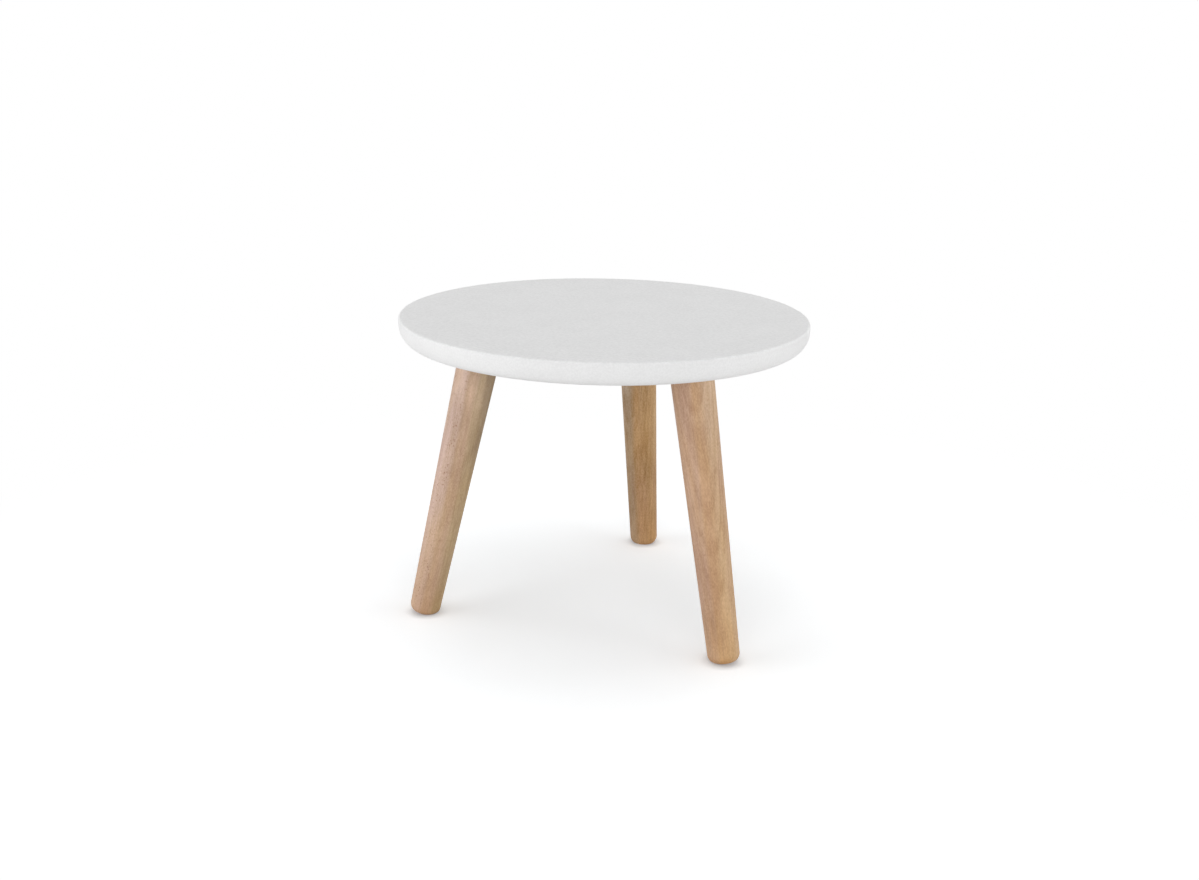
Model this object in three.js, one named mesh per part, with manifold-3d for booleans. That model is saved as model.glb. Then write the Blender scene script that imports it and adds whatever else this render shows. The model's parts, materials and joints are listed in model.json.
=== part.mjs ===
// Round side table on three splayed legs. A lacquered top stands on turned, tapered
// wooden legs. Each leg is bolted to an angled pressed plate screwed under the top.
// Millimetres, +Z up, origin on the floor under the middle of the top.

import * as THREE from 'three';
import { mergeVertices } from 'three/addons/utils/BufferGeometryUtils.js';
import Module from 'manifold-3d';

const wasm = await Module();
wasm.setup();

// Whole table
const tableHeight = 380;
const topDiameter = 500;
const topThickness = 28;
const legSplayDegrees = 12.3;
const backLegDegrees = 90;
const legNames = ['back', 'left', 'right'];

// From the rim of the top to the point where a leg's axis meets its plate
const legInset = 98.5;

// Clearance between neighbouring pieces, and how far cutting bodies run past a face
const fitGap = 0.3;
const cutOverrun = 5;

// Top: a small upper edge, a short upright side and a soft elliptical lower edge
const topUpperEdgeRadius = 3;
const topSideHeight = 5;
const topLowerEdgeWidth = 15;
const topFaceCount = 96;
const topArcDivisionCount = 3;

// Leg, its foot edge, and how far the turned end passed the floor before sanding
const legTopDiameter = 51;
const legFootDiameter = 38.5;
const legTopEdgeRadius = 1;
const footEdgeRadius = 10;
const footSandingDepth = 1.2;
const legFaceCount = 48;
const legArcDivisionCount = 2;

// Hanger bolt: a pointed wood end in the leg and a machine end in the nut
const boltDiameter = 8;
const boltWoodLength = 35;
const boltPointLength = 7;
const boltNeckDiameter = 6.8;
const boltNeckLength = 3;
const boltProjection = 1;
const boltEndChamfer = 0.8;
const boltFaceCount = 16;

// Hexagonal weld nut inside the pressed plate
const nutWidthAcrossFlats = 13;
const nutHeight = 6.5;
const nutSideCount = 6;

// Countersunk wood screw
const screwDiameter = 4.5;
const screwLength = 20;
const screwPointLength = 5;
const screwHeadDiameter = 8.4;
const screwHeadRimHeight = 0.4;
const screwFaceCount = 12;

// Pressed plate: a flange with a dome whose flat seat stands square to the leg
const plateThickness = 2;
const plateCornerRadius = 6;
const plateHoleMargin = 8;
const plateLandWidth = 5;
const seatRadius = 17;
const domeWallRun = 5;
const domeBendRadius = 2;
const nutHeadroom = 2;
const plateFaceCount = 32;
const plateArcDivisionCount = 2;
const plateCornerDivisionCount = 3;

// Sizes that follow from those above
const splay = THREE.MathUtils.degToRad(legSplayDegrees);
const undersideHeight = tableHeight - topThickness;
const legCircleRadius = topDiameter / 2 - legInset;
const nutCornerRadius = nutWidthAcrossFlats / 2 / Math.cos(Math.PI / nutSideCount);
const nutRise = nutHeight * Math.cos(splay) + nutCornerRadius * Math.sin(splay);
const seatDepth = plateThickness + fitGap + nutRise + nutHeadroom;
const seatHeight = undersideHeight - fitGap - seatDepth;
const seatThickness = plateThickness * Math.cos(splay);
const legAxisLength = seatHeight / Math.cos(splay);

// The dome's wall, and the plate's half width that leaves a flat land round the dome
const domeWallAngle = Math.atan2(seatDepth - plateThickness, domeWallRun);
const domeBendReach = domeBendRadius * Math.tan(domeWallAngle / 2);
const domeFootRadius = seatRadius + domeWallRun + domeBendReach;
const screwCircleRadius = domeFootRadius + plateLandWidth + screwHeadDiameter / 2;
const screwOffset = screwCircleRadius * Math.SQRT1_2;
const plateHalfWidth = screwOffset + plateHoleMargin;
const plateCornerSigns = [[1, 1], [-1, 1], [-1, -1], [1, -1]];

// Finishes
const whiteLacquer = new THREE.MeshStandardMaterial({ color: 0xf0f0ee, roughness: 0.55, metalness: 0 });
const oiledWood = new THREE.MeshStandardMaterial({ color: 0xb8966f, roughness: 0.6, metalness: 0 });
const zincSteel = new THREE.MeshStandardMaterial({ color: 0xb9bcbf, roughness: 0.35, metalness: 1 });

// A closed geometry as a solid that can be joined and cut
function solidOf(geometry) {
  const bare = geometry.clone();
  bare.deleteAttribute('normal');
  bare.deleteAttribute('uv');
  const merged = mergeVertices(bare);
  const index = merged.index.array;
  const triVerts = [];
  for (let i = 0; i < index.length; i += 3) {
    const [a, b, c] = index.slice(i, i + 3);
    if (a !== b && b !== c && c !== a) {
      triVerts.push(a, b, c);
    }
  }
  const vertProperties = merged.attributes.position.array;
  return new wasm.Manifold(
    new wasm.Mesh({ numProp: 3, vertProperties, triVerts: Uint32Array.from(triVerts) }),
  );
}

// The geometry of a solid
function geometryOf(solid) {
  const mesh = solid.getMesh();
  const geometry = new THREE.BufferGeometry();
  geometry.setAttribute('position', new THREE.BufferAttribute(mesh.vertProperties, 3));
  geometry.setIndex(new THREE.BufferAttribute(mesh.triVerts, 1));
  geometry.computeVertexNormals();
  return geometry;
}

// An outline turned about the Z axis; x is the radius and y is the height
function turned(outline, faceCount) {
  return new THREE.LatheGeometry(outline, faceCount).rotateX(Math.PI / 2);
}

// Takes a path up to a corner and round it, by an arc that is tangent to both sides
function roundCorner(path, before, corner, after, radius) {
  const back = before.clone().sub(corner).normalize();
  const ahead = after.clone().sub(corner).normalize();
  const halfAngle = back.angleTo(ahead) / 2;
  const reach = radius / Math.tan(halfAngle);
  const bisector = back.clone().add(ahead).normalize();
  const centre = bisector.multiplyScalar(radius / Math.sin(halfAngle)).add(corner);
  const clockwise = back.cross(ahead) > 0;
  const start = back.multiplyScalar(reach).add(corner);
  const end = ahead.multiplyScalar(reach).add(corner);
  path.lineTo(start.x, start.y);
  path.absarc(
    centre.x, centre.y, radius,
    start.sub(centre).angle(), end.sub(centre).angle(), clockwise,
  );
}

// Mesh with a name and a finish
function piece(name, geometry, material) {
  const mesh = new THREE.Mesh(geometry, material);
  mesh.name = name;
  return mesh;
}

// Frame on the underside where one leg is fixed, with +X pointing away from the middle
function stationMatrix(legIndex) {
  const turn = THREE.MathUtils.degToRad(backLegDegrees + (360 * legIndex) / legNames.length);
  const matrix = new THREE.Matrix4().makeRotationZ(turn);
  return matrix.multiply(new THREE.Matrix4().makeTranslation(legCircleRadius, 0, undersideHeight));
}

// Screw or, with a clearance, the hole that it fits; its head face is at the origin
function screwShape(clearance) {
  const headRadius = screwHeadDiameter / 2 + clearance;
  const shankRadius = screwDiameter / 2 + clearance;
  const countersinkEnd = screwHeadRimHeight + headRadius - shankRadius;
  const outline = [
    new THREE.Vector2(0, -clearance),
    new THREE.Vector2(headRadius, -clearance),
    new THREE.Vector2(headRadius, screwHeadRimHeight),
    new THREE.Vector2(shankRadius, countersinkEnd),
    new THREE.Vector2(shankRadius, screwLength - screwPointLength + clearance),
    new THREE.Vector2(0, screwLength + clearance),
  ];
  return turned(outline, screwFaceCount);
}

// The holes or screws of a plate, one in each corner, at a height below the underside
function screwPlaces(height) {
  return plateCornerSigns.map(([x, y]) => new THREE.Vector3(x * screwOffset, y * screwOffset, height));
}

function tableTopGeometry() {
  const radius = topDiameter / 2;
  const lowerEdgeHeight = topThickness - topUpperEdgeRadius - topSideHeight;
  const sideBottom = undersideHeight + lowerEdgeHeight;
  const upperArcHeight = tableHeight - topUpperEdgeRadius;
  const outline = new THREE.Path();
  outline.moveTo(0, undersideHeight);
  outline.lineTo(radius - topLowerEdgeWidth, undersideHeight);
  outline.absellipse(
    radius - topLowerEdgeWidth, sideBottom,
    topLowerEdgeWidth, lowerEdgeHeight,
    -Math.PI / 2, 0, false,
  );
  outline.absarc(radius - topUpperEdgeRadius, upperArcHeight, topUpperEdgeRadius, 0, Math.PI / 2, false);
  outline.lineTo(0, tableHeight);
  let top = solidOf(turned(outline.getPoints(topArcDivisionCount), topFaceCount));
  for (let legIndex = 0; legIndex < legNames.length; legIndex += 1) {
    for (const place of screwPlaces(-fitGap - plateThickness)) {
      const hole = screwShape(fitGap).translate(place.x, place.y, place.z);
      top = top.subtract(solidOf(hole.applyMatrix4(stationMatrix(legIndex))));
    }
  }
  return geometryOf(top);
}

// One side of the pressed sheet as a body that fills everything above it. The dome is
// turned upright first, and its seat is then tipped by raising it away from the middle.
function sheetBody(flangeDepth, domeDepth, inset, bendRadius, seatBendRadius, overrun) {
  const rimRadius = plateHalfWidth * Math.SQRT2 + overrun;
  const corners = [
    new THREE.Vector2(0, -domeDepth),
    new THREE.Vector2(seatRadius - inset, -domeDepth),
    new THREE.Vector2(seatRadius + domeWallRun - inset, -flangeDepth),
    new THREE.Vector2(rimRadius, -flangeDepth),
  ];
  const outline = new THREE.Path();
  outline.moveTo(corners[0].x, corners[0].y);
  roundCorner(outline, corners[0], corners[1], corners[2], seatBendRadius);
  roundCorner(outline, corners[1], corners[2], corners[3], bendRadius);
  outline.lineTo(corners[3].x, corners[3].y);
  outline.lineTo(rimRadius, overrun);
  outline.lineTo(0, overrun);
  const body = turned(outline.getPoints(plateArcDivisionCount), plateFaceCount);
  const position = body.attributes.position;
  for (let i = 0; i < position.count; i += 1) {
    const depthShare = Math.max(0, -position.getZ(i) - flangeDepth) / (domeDepth - flangeDepth);
    const rise = position.getX(i) * Math.tan(splay) * depthShare;
    position.setZ(i, position.getZ(i) + rise);
  }
  return solidOf(body);
}

// Square outline of the plate with round corners, as a prism through its whole depth
function plateOutlineBody() {
  const straight = plateHalfWidth - plateCornerRadius;
  const shape = new THREE.Shape();
  plateCornerSigns.forEach(([x, y], i) => {
    const turn = (i * Math.PI) / 2;
    shape.absarc(x * straight, y * straight, plateCornerRadius, turn, turn + Math.PI / 2, false);
  });
  const depth = 2 * (seatDepth + seatRadius + cutOverrun);
  const extrusion = { depth, bevelEnabled: false, curveSegments: plateCornerDivisionCount };
  return solidOf(new THREE.ExtrudeGeometry(shape, extrusion).translate(0, 0, -depth / 2));
}

// The pressed plate, with its upper face at height zero and its dome hanging below
function mountingPlateGeometry() {
  const sheetInset = plateThickness * Math.tan(domeWallAngle / 2);
  const thickBendRadius = domeBendRadius + plateThickness;
  const outside = sheetBody(plateThickness, seatDepth, 0, domeBendRadius, thickBendRadius, cutOverrun);
  const inside = sheetBody(
    0, seatDepth - plateThickness, sheetInset,
    thickBendRadius, domeBendRadius, 2 * cutOverrun,
  );
  const boreRadius = boltDiameter / 2 + fitGap;
  const boreLength = 2 * (plateThickness + cutOverrun);
  const bore = new THREE.CylinderGeometry(boreRadius, boreRadius, boreLength, boltFaceCount)
    .rotateX(Math.PI / 2)
    .rotateY(-splay)
    .translate(0, 0, -seatDepth);
  let plate = outside.subtract(inside).intersect(plateOutlineBody()).subtract(solidOf(bore));
  for (const place of screwPlaces(-plateThickness)) {
    const hole = screwShape(fitGap).translate(place.x, place.y, place.z);
    plate = plate.subtract(solidOf(hole));
  }
  return geometryOf(plate);
}

// Hanger bolt along the leg's axis, with the plate's seat at height zero
function hangerBoltGeometry() {
  const radius = boltDiameter / 2;
  const neckRadius = boltNeckDiameter / 2;
  const machineEnd = seatThickness + fitGap + nutHeight + boltProjection;
  const outline = [
    new THREE.Vector2(0, -boltWoodLength),
    new THREE.Vector2(radius, boltPointLength - boltWoodLength),
    new THREE.Vector2(radius, -2 * boltNeckLength),
    new THREE.Vector2(neckRadius, -2 * boltNeckLength),
    new THREE.Vector2(neckRadius, -boltNeckLength),
    new THREE.Vector2(radius, -boltNeckLength),
    new THREE.Vector2(radius, machineEnd - boltEndChamfer),
    new THREE.Vector2(radius - boltEndChamfer, machineEnd),
    new THREE.Vector2(0, machineEnd),
  ];
  return turned(outline, boltFaceCount);
}

// Tapered leg along its own axis, with a blind bore above and a foot cut by the floor
function legGeometry() {
  const legTop = -fitGap;
  const legEnd = -legAxisLength - footSandingDepth;
  const corners = [
    new THREE.Vector2(0, legEnd),
    new THREE.Vector2(legFootDiameter / 2, legEnd),
    new THREE.Vector2(legTopDiameter / 2, legTop),
    new THREE.Vector2(0, legTop),
  ];
  const outline = new THREE.Path();
  outline.moveTo(corners[0].x, corners[0].y);
  roundCorner(outline, corners[0], corners[1], corners[2], footEdgeRadius);
  roundCorner(outline, corners[1], corners[2], corners[3], legTopEdgeRadius);
  outline.lineTo(corners[3].x, corners[3].y);
  const leg = solidOf(turned(outline.getPoints(legArcDivisionCount), legFaceCount));
  const boreRadius = boltDiameter / 2 + fitGap;
  const boreDepth = boltWoodLength + fitGap;
  const bore = turned([
    new THREE.Vector2(0, -boreDepth),
    new THREE.Vector2(boreRadius, boltPointLength - boreDepth),
    new THREE.Vector2(boreRadius, cutOverrun),
    new THREE.Vector2(0, cutOverrun),
  ], boltFaceCount);
  const floorWidth = 2 * legFootDiameter;
  const floor = new THREE.BoxGeometry(floorWidth, floorWidth, legFootDiameter)
    .translate(0, 0, -legFootDiameter / 2)
    .rotateY(splay)
    .translate(0, 0, -legAxisLength);
  return geometryOf(leg.subtract(solidOf(bore)).subtract(solidOf(floor)));
}

// Weld nut, resting on the inner face of the plate's seat
function plateNutGeometry() {
  const corners = [];
  for (let i = 0; i < nutSideCount; i += 1) {
    const turn = (2 * Math.PI * i) / nutSideCount;
    corners.push(new THREE.Vector2(nutCornerRadius * Math.cos(turn), nutCornerRadius * Math.sin(turn)));
  }
  const shape = new THREE.Shape(corners);
  const bore = new THREE.Path();
  bore.absarc(0, 0, boltDiameter / 2 + fitGap, 0, 2 * Math.PI, true);
  shape.holes.push(bore);
  const extrusion = { depth: nutHeight, bevelEnabled: false, curveSegments: boltFaceCount / 2 };
  return new THREE.ExtrudeGeometry(shape, extrusion).translate(0, 0, seatThickness + fitGap);
}

// The shapes that all the stations share
const plateShape = mountingPlateGeometry();
const screwBody = screwShape(0);
const nutShape = plateNutGeometry();
const boltShape = hangerBoltGeometry();
const legShape = legGeometry();

// One leg, with the plate, screws, nut and hanger bolt that hold it under the top
function legStation(legIndex) {
  const name = legNames[legIndex];
  const station = new THREE.Group();
  station.applyMatrix4(stationMatrix(legIndex));
  const plate = piece(`mounting_plate_${name}`, plateShape, zincSteel);
  plate.position.z = -fitGap;
  station.add(plate);
  screwPlaces(-fitGap - plateThickness).forEach((place, i) => {
    const screw = piece(`plate_screw_${name}_${i + 1}`, screwBody, zincSteel);
    screw.position.copy(place);
    station.add(screw);
  });
  const legFrame = new THREE.Group();
  legFrame.position.z = -fitGap - seatDepth;
  legFrame.rotation.y = -splay;
  legFrame.add(piece(`plate_nut_${name}`, nutShape, zincSteel));
  legFrame.add(piece(`hanger_bolt_${name}`, boltShape, zincSteel));
  legFrame.add(piece(`leg_${name}`, legShape, oiledWood));
  station.add(legFrame);
  return station;
}

const table = new THREE.Group();
table.add(piece('table_top', tableTopGeometry(), whiteLacquer));
for (let legIndex = 0; legIndex < legNames.length; legIndex += 1) {
  table.add(legStation(legIndex));
}

export default table;
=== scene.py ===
import json
from math import asin, atan2, cos, degrees, pi, radians, sin, sqrt, tan

import bpy
from mathutils import Matrix, Vector


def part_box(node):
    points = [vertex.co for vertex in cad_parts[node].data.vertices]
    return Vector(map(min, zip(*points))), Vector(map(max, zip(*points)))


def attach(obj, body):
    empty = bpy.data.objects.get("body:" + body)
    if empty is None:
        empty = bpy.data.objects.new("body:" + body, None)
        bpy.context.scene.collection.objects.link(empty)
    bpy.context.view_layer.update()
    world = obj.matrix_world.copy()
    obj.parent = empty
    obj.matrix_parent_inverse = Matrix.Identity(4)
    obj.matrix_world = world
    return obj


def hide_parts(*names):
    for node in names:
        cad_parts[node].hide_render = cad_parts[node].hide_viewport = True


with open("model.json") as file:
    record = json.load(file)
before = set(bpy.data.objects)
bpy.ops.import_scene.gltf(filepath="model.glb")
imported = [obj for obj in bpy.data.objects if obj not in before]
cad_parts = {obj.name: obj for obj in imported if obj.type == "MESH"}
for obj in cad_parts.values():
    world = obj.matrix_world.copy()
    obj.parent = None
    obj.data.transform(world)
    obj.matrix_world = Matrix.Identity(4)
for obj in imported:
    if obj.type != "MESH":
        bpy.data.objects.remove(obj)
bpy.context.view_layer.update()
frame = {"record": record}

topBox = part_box("table_top")
topHeight = topBox[1].z
undersideHeight = topBox[0].z
topRadius = (topBox[1].x - topBox[0].x) / 2
fitGap = 0.0003  # between neighbouring pieces, as in the solids
stationRadius = 0.1515  # from the middle to the point where a leg meets its plate
splay = radians(12.3)
stations = {"back": 90, "left": 210, "right": 330}  # azimuth of each leg in degrees
tiny = 0.000001  # points closer than this are one


# Selecting, turning, cutting and placing

def pickOnly(*objects):
    bpy.ops.object.select_all(action='DESELECT')
    for one in objects:
        one.select_set(True)
    bpy.context.view_layer.objects.active = objects[-1]


def editMode(on):
    bpy.ops.object.mode_set(mode='EDIT' if on else 'OBJECT')


def selectVertices(piece, wanted):
    # takes vertex numbers and leaves the piece in edit mode
    pickOnly(piece)
    editMode(True)
    bpy.ops.mesh.select_mode(type='VERT')
    bpy.ops.mesh.select_all(action='DESELECT')
    editMode(False)
    for number in wanted:
        piece.data.vertices[number].select = True
    editMode(True)


def arc(middle, radii, start, end, steps):
    # points (radius, height) along an arc or a stretch of an ellipse, angles in degrees
    points = []
    for i in range(steps + 1):
        turn = radians(start + (end - start) * i / steps)
        points.append((middle[0] + radii[0] * cos(turn), middle[1] + radii[1] * sin(turn)))
    return points


def turnedPiece(name, outline, segments, openEnd=False):
    # a disc is extruded ring by ring along the outline
    bpy.ops.object.select_all(action='DESELECT')
    radius, height = outline[0]
    bpy.ops.mesh.primitive_circle_add(
        vertices=segments, radius=radius, fill_type='NGON', location=(0, 0, height))
    piece = bpy.context.object
    piece.name = piece.data.name = name
    bpy.ops.object.transform_apply(location=True, rotation=False, scale=False)
    editMode(True)
    bpy.ops.mesh.select_mode(type='FACE')
    bpy.ops.mesh.select_all(action='SELECT')
    for nextRadius, nextHeight in outline[1:]:
        bpy.ops.mesh.extrude_region_move(
            TRANSFORM_OT_translate={"value": (0, 0, nextHeight - height)})
        share = nextRadius / radius
        bpy.ops.transform.resize(value=(share, share, 1), center_override=(0, 0, nextHeight))
        radius, height = nextRadius, nextHeight
    if openEnd:
        bpy.ops.mesh.delete(type='ONLY_FACE')
    bpy.ops.mesh.select_all(action='SELECT')
    bpy.ops.mesh.normals_make_consistent(inside=False)
    editMode(False)
    return piece


def cut(piece, tool, operation='DIFFERENCE'):
    pickOnly(piece)
    modifier = piece.modifiers.new("cut", 'BOOLEAN')
    modifier.operation = operation
    modifier.solver = 'EXACT'
    modifier.object = tool
    bpy.ops.object.modifier_apply(modifier="cut")
    bpy.data.objects.remove(tool)
    weld(piece)


def weld(piece):
    # merges the doubles and slivers that a cut leaves
    pickOnly(piece)
    editMode(True)
    bpy.ops.mesh.select_mode(type='VERT')
    bpy.ops.mesh.select_all(action='SELECT')
    bpy.ops.mesh.remove_doubles(threshold=tiny)
    bpy.ops.mesh.dissolve_degenerate(threshold=tiny)
    bpy.ops.mesh.select_all(action='SELECT')
    bpy.ops.mesh.normals_make_consistent(inside=False)
    editMode(False)


def softenEdges(piece, width, angle):
    pickOnly(piece)
    modifier = piece.modifiers.new("softEdges", 'BEVEL')
    modifier.width = width
    modifier.segments = 2
    modifier.limit_method = 'ANGLE'
    modifier.angle_limit = radians(angle)
    bpy.ops.object.modifier_apply(modifier="softEdges")


def smooth(piece, sharpAngle=30):
    # flat faces stay flat right up to their rounded edges
    pickOnly(piece)
    bpy.ops.object.shade_smooth_by_angle(angle=radians(sharpAngle))
    modifier = piece.modifiers.new("evenShading", 'WEIGHTED_NORMAL')
    modifier.keep_sharp = True
    modifier.weight = 100
    bpy.ops.object.modifier_apply(modifier="evenShading")


def move(piece, matrix):
    # the place goes into the mesh, and the object stays at the origin
    pickOnly(piece)
    piece.matrix_world = matrix
    bpy.ops.object.transform_apply(location=True, rotation=True, scale=True)


def placedCopy(master, name, matrix):
    piece = master.copy()
    piece.data = master.data.copy()
    piece.name = piece.data.name = name
    bpy.context.collection.objects.link(piece)
    move(piece, matrix)
    return piece


def handOver(piece, node, material):
    piece.data.materials.clear()
    piece.data.materials.append(material)
    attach(piece, "root")
    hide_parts(node)


def stationMatrix(name):
    # on the underside over one leg, with +X away from the middle
    turn = Matrix.Rotation(radians(stations[name]), 4, 'Z')
    return turn @ Matrix.Translation((stationRadius, 0, undersideHeight))


def legMatrix(name):
    # at the plate's seat, with +Z up along the leg
    drop = Matrix.Translation((0, 0, -fitGap - seatDepth))
    return stationMatrix(name) @ drop @ Matrix.Rotation(-splay, 4, 'Y')


# Shader helpers

noiseRange = (0.3, 0.7)  # where nearly all of a noise's values lie
speckRange = (0.35, 0.65)  # the same for specks and wear, with the ends clipped
nodeGrid = dict(left=-1800, top=300, across=40, down=60, rows=12)  # where new nodes go in the editor


def plug(tree, socket, value):
    if isinstance(value, bpy.types.NodeSocket):
        tree.links.new(value, socket)
    else:
        socket.default_value = value


def addNode(tree, kind, **settings):
    node = tree.nodes.new(kind)
    count = len(tree.nodes)
    node.location = (nodeGrid["left"] + nodeGrid["across"] * count,
                     nodeGrid["top"] - nodeGrid["down"] * (count % nodeGrid["rows"]))
    for key, value in settings.items():
        setattr(node, key, value)
    return node


def calculate(tree, operation, first, second, clamp=False):
    node = addNode(tree, 'ShaderNodeMath', operation=operation, use_clamp=clamp)
    plug(tree, node.inputs[0], first)
    plug(tree, node.inputs[1], second)
    return node.outputs[0]


def calculateVector(tree, operation, first, second):
    node = addNode(tree, 'ShaderNodeVectorMath', operation=operation)
    plug(tree, node.inputs[0], first)
    plug(tree, node.inputs[1], second)
    return node.outputs["Value"] if operation in ('DOT_PRODUCT', 'DISTANCE') else node.outputs[0]


def noise(tree, vector, scale, detail, roughness=0.5, output="Fac"):
    node = addNode(tree, 'ShaderNodeTexNoise')
    plug(tree, node.inputs["Vector"], vector)
    node.inputs["Scale"].default_value = scale
    node.inputs["Detail"].default_value = detail
    node.inputs["Roughness"].default_value = roughness
    return node.outputs[output]


def stretch(tree, vector, along):
    # a pattern on the result is drawn out along Z where along is below 1
    return calculateVector(tree, 'MULTIPLY', vector, (1, 1, along))


def remap(tree, value, low, high, newLow=0, newHigh=1, kind='LINEAR'):
    node = addNode(tree, 'ShaderNodeMapRange', interpolation_type=kind)
    plug(tree, node.inputs["Value"], value)
    node.inputs["From Min"].default_value = low
    node.inputs["From Max"].default_value = high
    plug(tree, node.inputs["To Min"], newLow)
    plug(tree, node.inputs["To Max"], newHigh)
    return node.outputs[0]


def mixColours(tree, factor, first, second, blend='MIX', clamp=True):
    node = addNode(tree, 'ShaderNodeMix', data_type='RGBA', blend_type=blend, clamp_factor=clamp)
    plug(tree, node.inputs["Factor"], factor)
    plug(tree, node.inputs[6], first)
    plug(tree, node.inputs[7], second)
    return node.outputs[2]


def tint(tree, factor, colour, multiplier):
    return mixColours(tree, factor, colour, mixColours(tree, 1, colour, multiplier, 'MULTIPLY'))


def newGroup(name, inputs):
    # inputs by kind; every finish gives a colour, a roughness and a height
    group = bpy.data.node_groups.new(name, 'ShaderNodeTree')
    outputs = {'Color': ["Color"], 'Float': ["Roughness", "Height"]}
    for direction, sockets in (('INPUT', inputs), ('OUTPUT', outputs)):
        for kind, socketNames in sockets.items():
            for socketName in socketNames:
                group.interface.new_socket(socketName, in_out=direction, socket_type='NodeSocket' + kind)
    return group, addNode(group, 'NodeGroupInput'), addNode(group, 'NodeGroupOutput')


def newMaterial(name):
    material = bpy.data.materials.new(name)
    material.use_nodes = True
    tree = material.node_tree
    return material, tree, tree.nodes["Principled BSDF"]


def placeGroup(tree, group, vector, values):
    node = addNode(tree, 'ShaderNodeGroup', node_tree=group)
    plug(tree, node.inputs["Vector"], vector)
    for key, value in values.items():
        node.inputs[key].default_value = value
    return node


def addRelief(tree, shader, height, strength, depth):
    bump = addNode(tree, 'ShaderNodeBump')
    bump.inputs["Strength"].default_value = strength
    bump.inputs["Distance"].default_value = depth
    tree.links.new(height, bump.inputs["Height"])
    tree.links.new(bump.outputs["Normal"], shader.inputs["Normal"])


def dress(tree, shader, finish, strength, depth):
    # takes a placed group's colour, roughness and height
    plug(tree, shader.inputs["Base Color"], finish.outputs["Color"])
    plug(tree, shader.inputs["Roughness"], finish.outputs["Roughness"])
    addRelief(tree, shader, finish.outputs["Height"], strength, depth)


def shade(red, green, blue):
    # a colour as a paint program gives it, 0 to 255, for a shader socket
    channels = [c / 255 for c in (red, green, blue)]
    return [c / 12.92 if c <= 0.04045 else ((c + 0.055) / 1.055) ** 2.4 for c in channels] + [1]


# Wood grain of a turned leg, whose axis is Z: rings about a pith beside the leg, fibres, patches
# where the oil soaked in unevenly, heartwood and sapwood tints mixed with painted light and shade on
# the leg's sides and under the table top, flecks and a few scuffs

grainLayers = dict(  # scale of the noise, below 1 to draw it out along the leg, strength
    fibres=(700, 0.06, 0.24), grit=(850, 0.4, 0.42), streaks=(150, 0.05, 0.17),
    blotches=(150, 0.35, 0.14), patches=(24, 0.3, 1), warmth=(45, 0.15, 1), border=(12, 0.3, 0.003))
grainLook = dict(  # the heights from the seat of the painted shading under the top, the tint towards the foot and the sawn end's tint; the foot ends at -0.348
    wander=(0.006, 0.006, 0), wanderScale=24, wanderAlong=0.2, ringDetail=3, ringRoughness=0.6,
    ringRange=(0.34, 0.68), warmthOffset=(0.5, 0.2, 0.3), yellower=(1.03, 0.98, 0.86, 1),
    pinker=(1.0, 0.99, 1.1, 1), heartAndShadingFrom=(0.002, 0.009), sapAndShadingFrom=(-0.002, -0.012), borderRagged=0.006,
    underTopShadingFrom=(-0.13, -0.02), underTopShadingOnHeart=0.4, towardFootFrom=(-0.18, -0.34), endsRagged=0.1,
    sawnEndOilAndShadeFrom=(-0.337, -0.352), sawnEndOilAndShade=(0.92, 0.84, 0.72, 1),
    gatherAlong=0.22, gatherScale=70, gatherRange=(0.42, 0.62), fewFlecks=0.3, fewInSap=0.25,
    fleckAlong=0.6, fleckScale=560, fleckRange=(0.62, 0.7),
    scuffAlong=4, scuffScale=110, scuffRange=(0.66, 0.74), scuffStrength=0.4,
    markColour=(146, 100, 76), roughness=(0.56, 0.7))


def grainLayer(tree, vector, name):
    # a noise from minus its strength to its strength
    scale, along, strength = grainLayers[name]
    value = noise(tree, stretch(tree, vector, along), scale, detail=3)
    return remap(tree, value, *noiseRange, -strength, strength)


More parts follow.
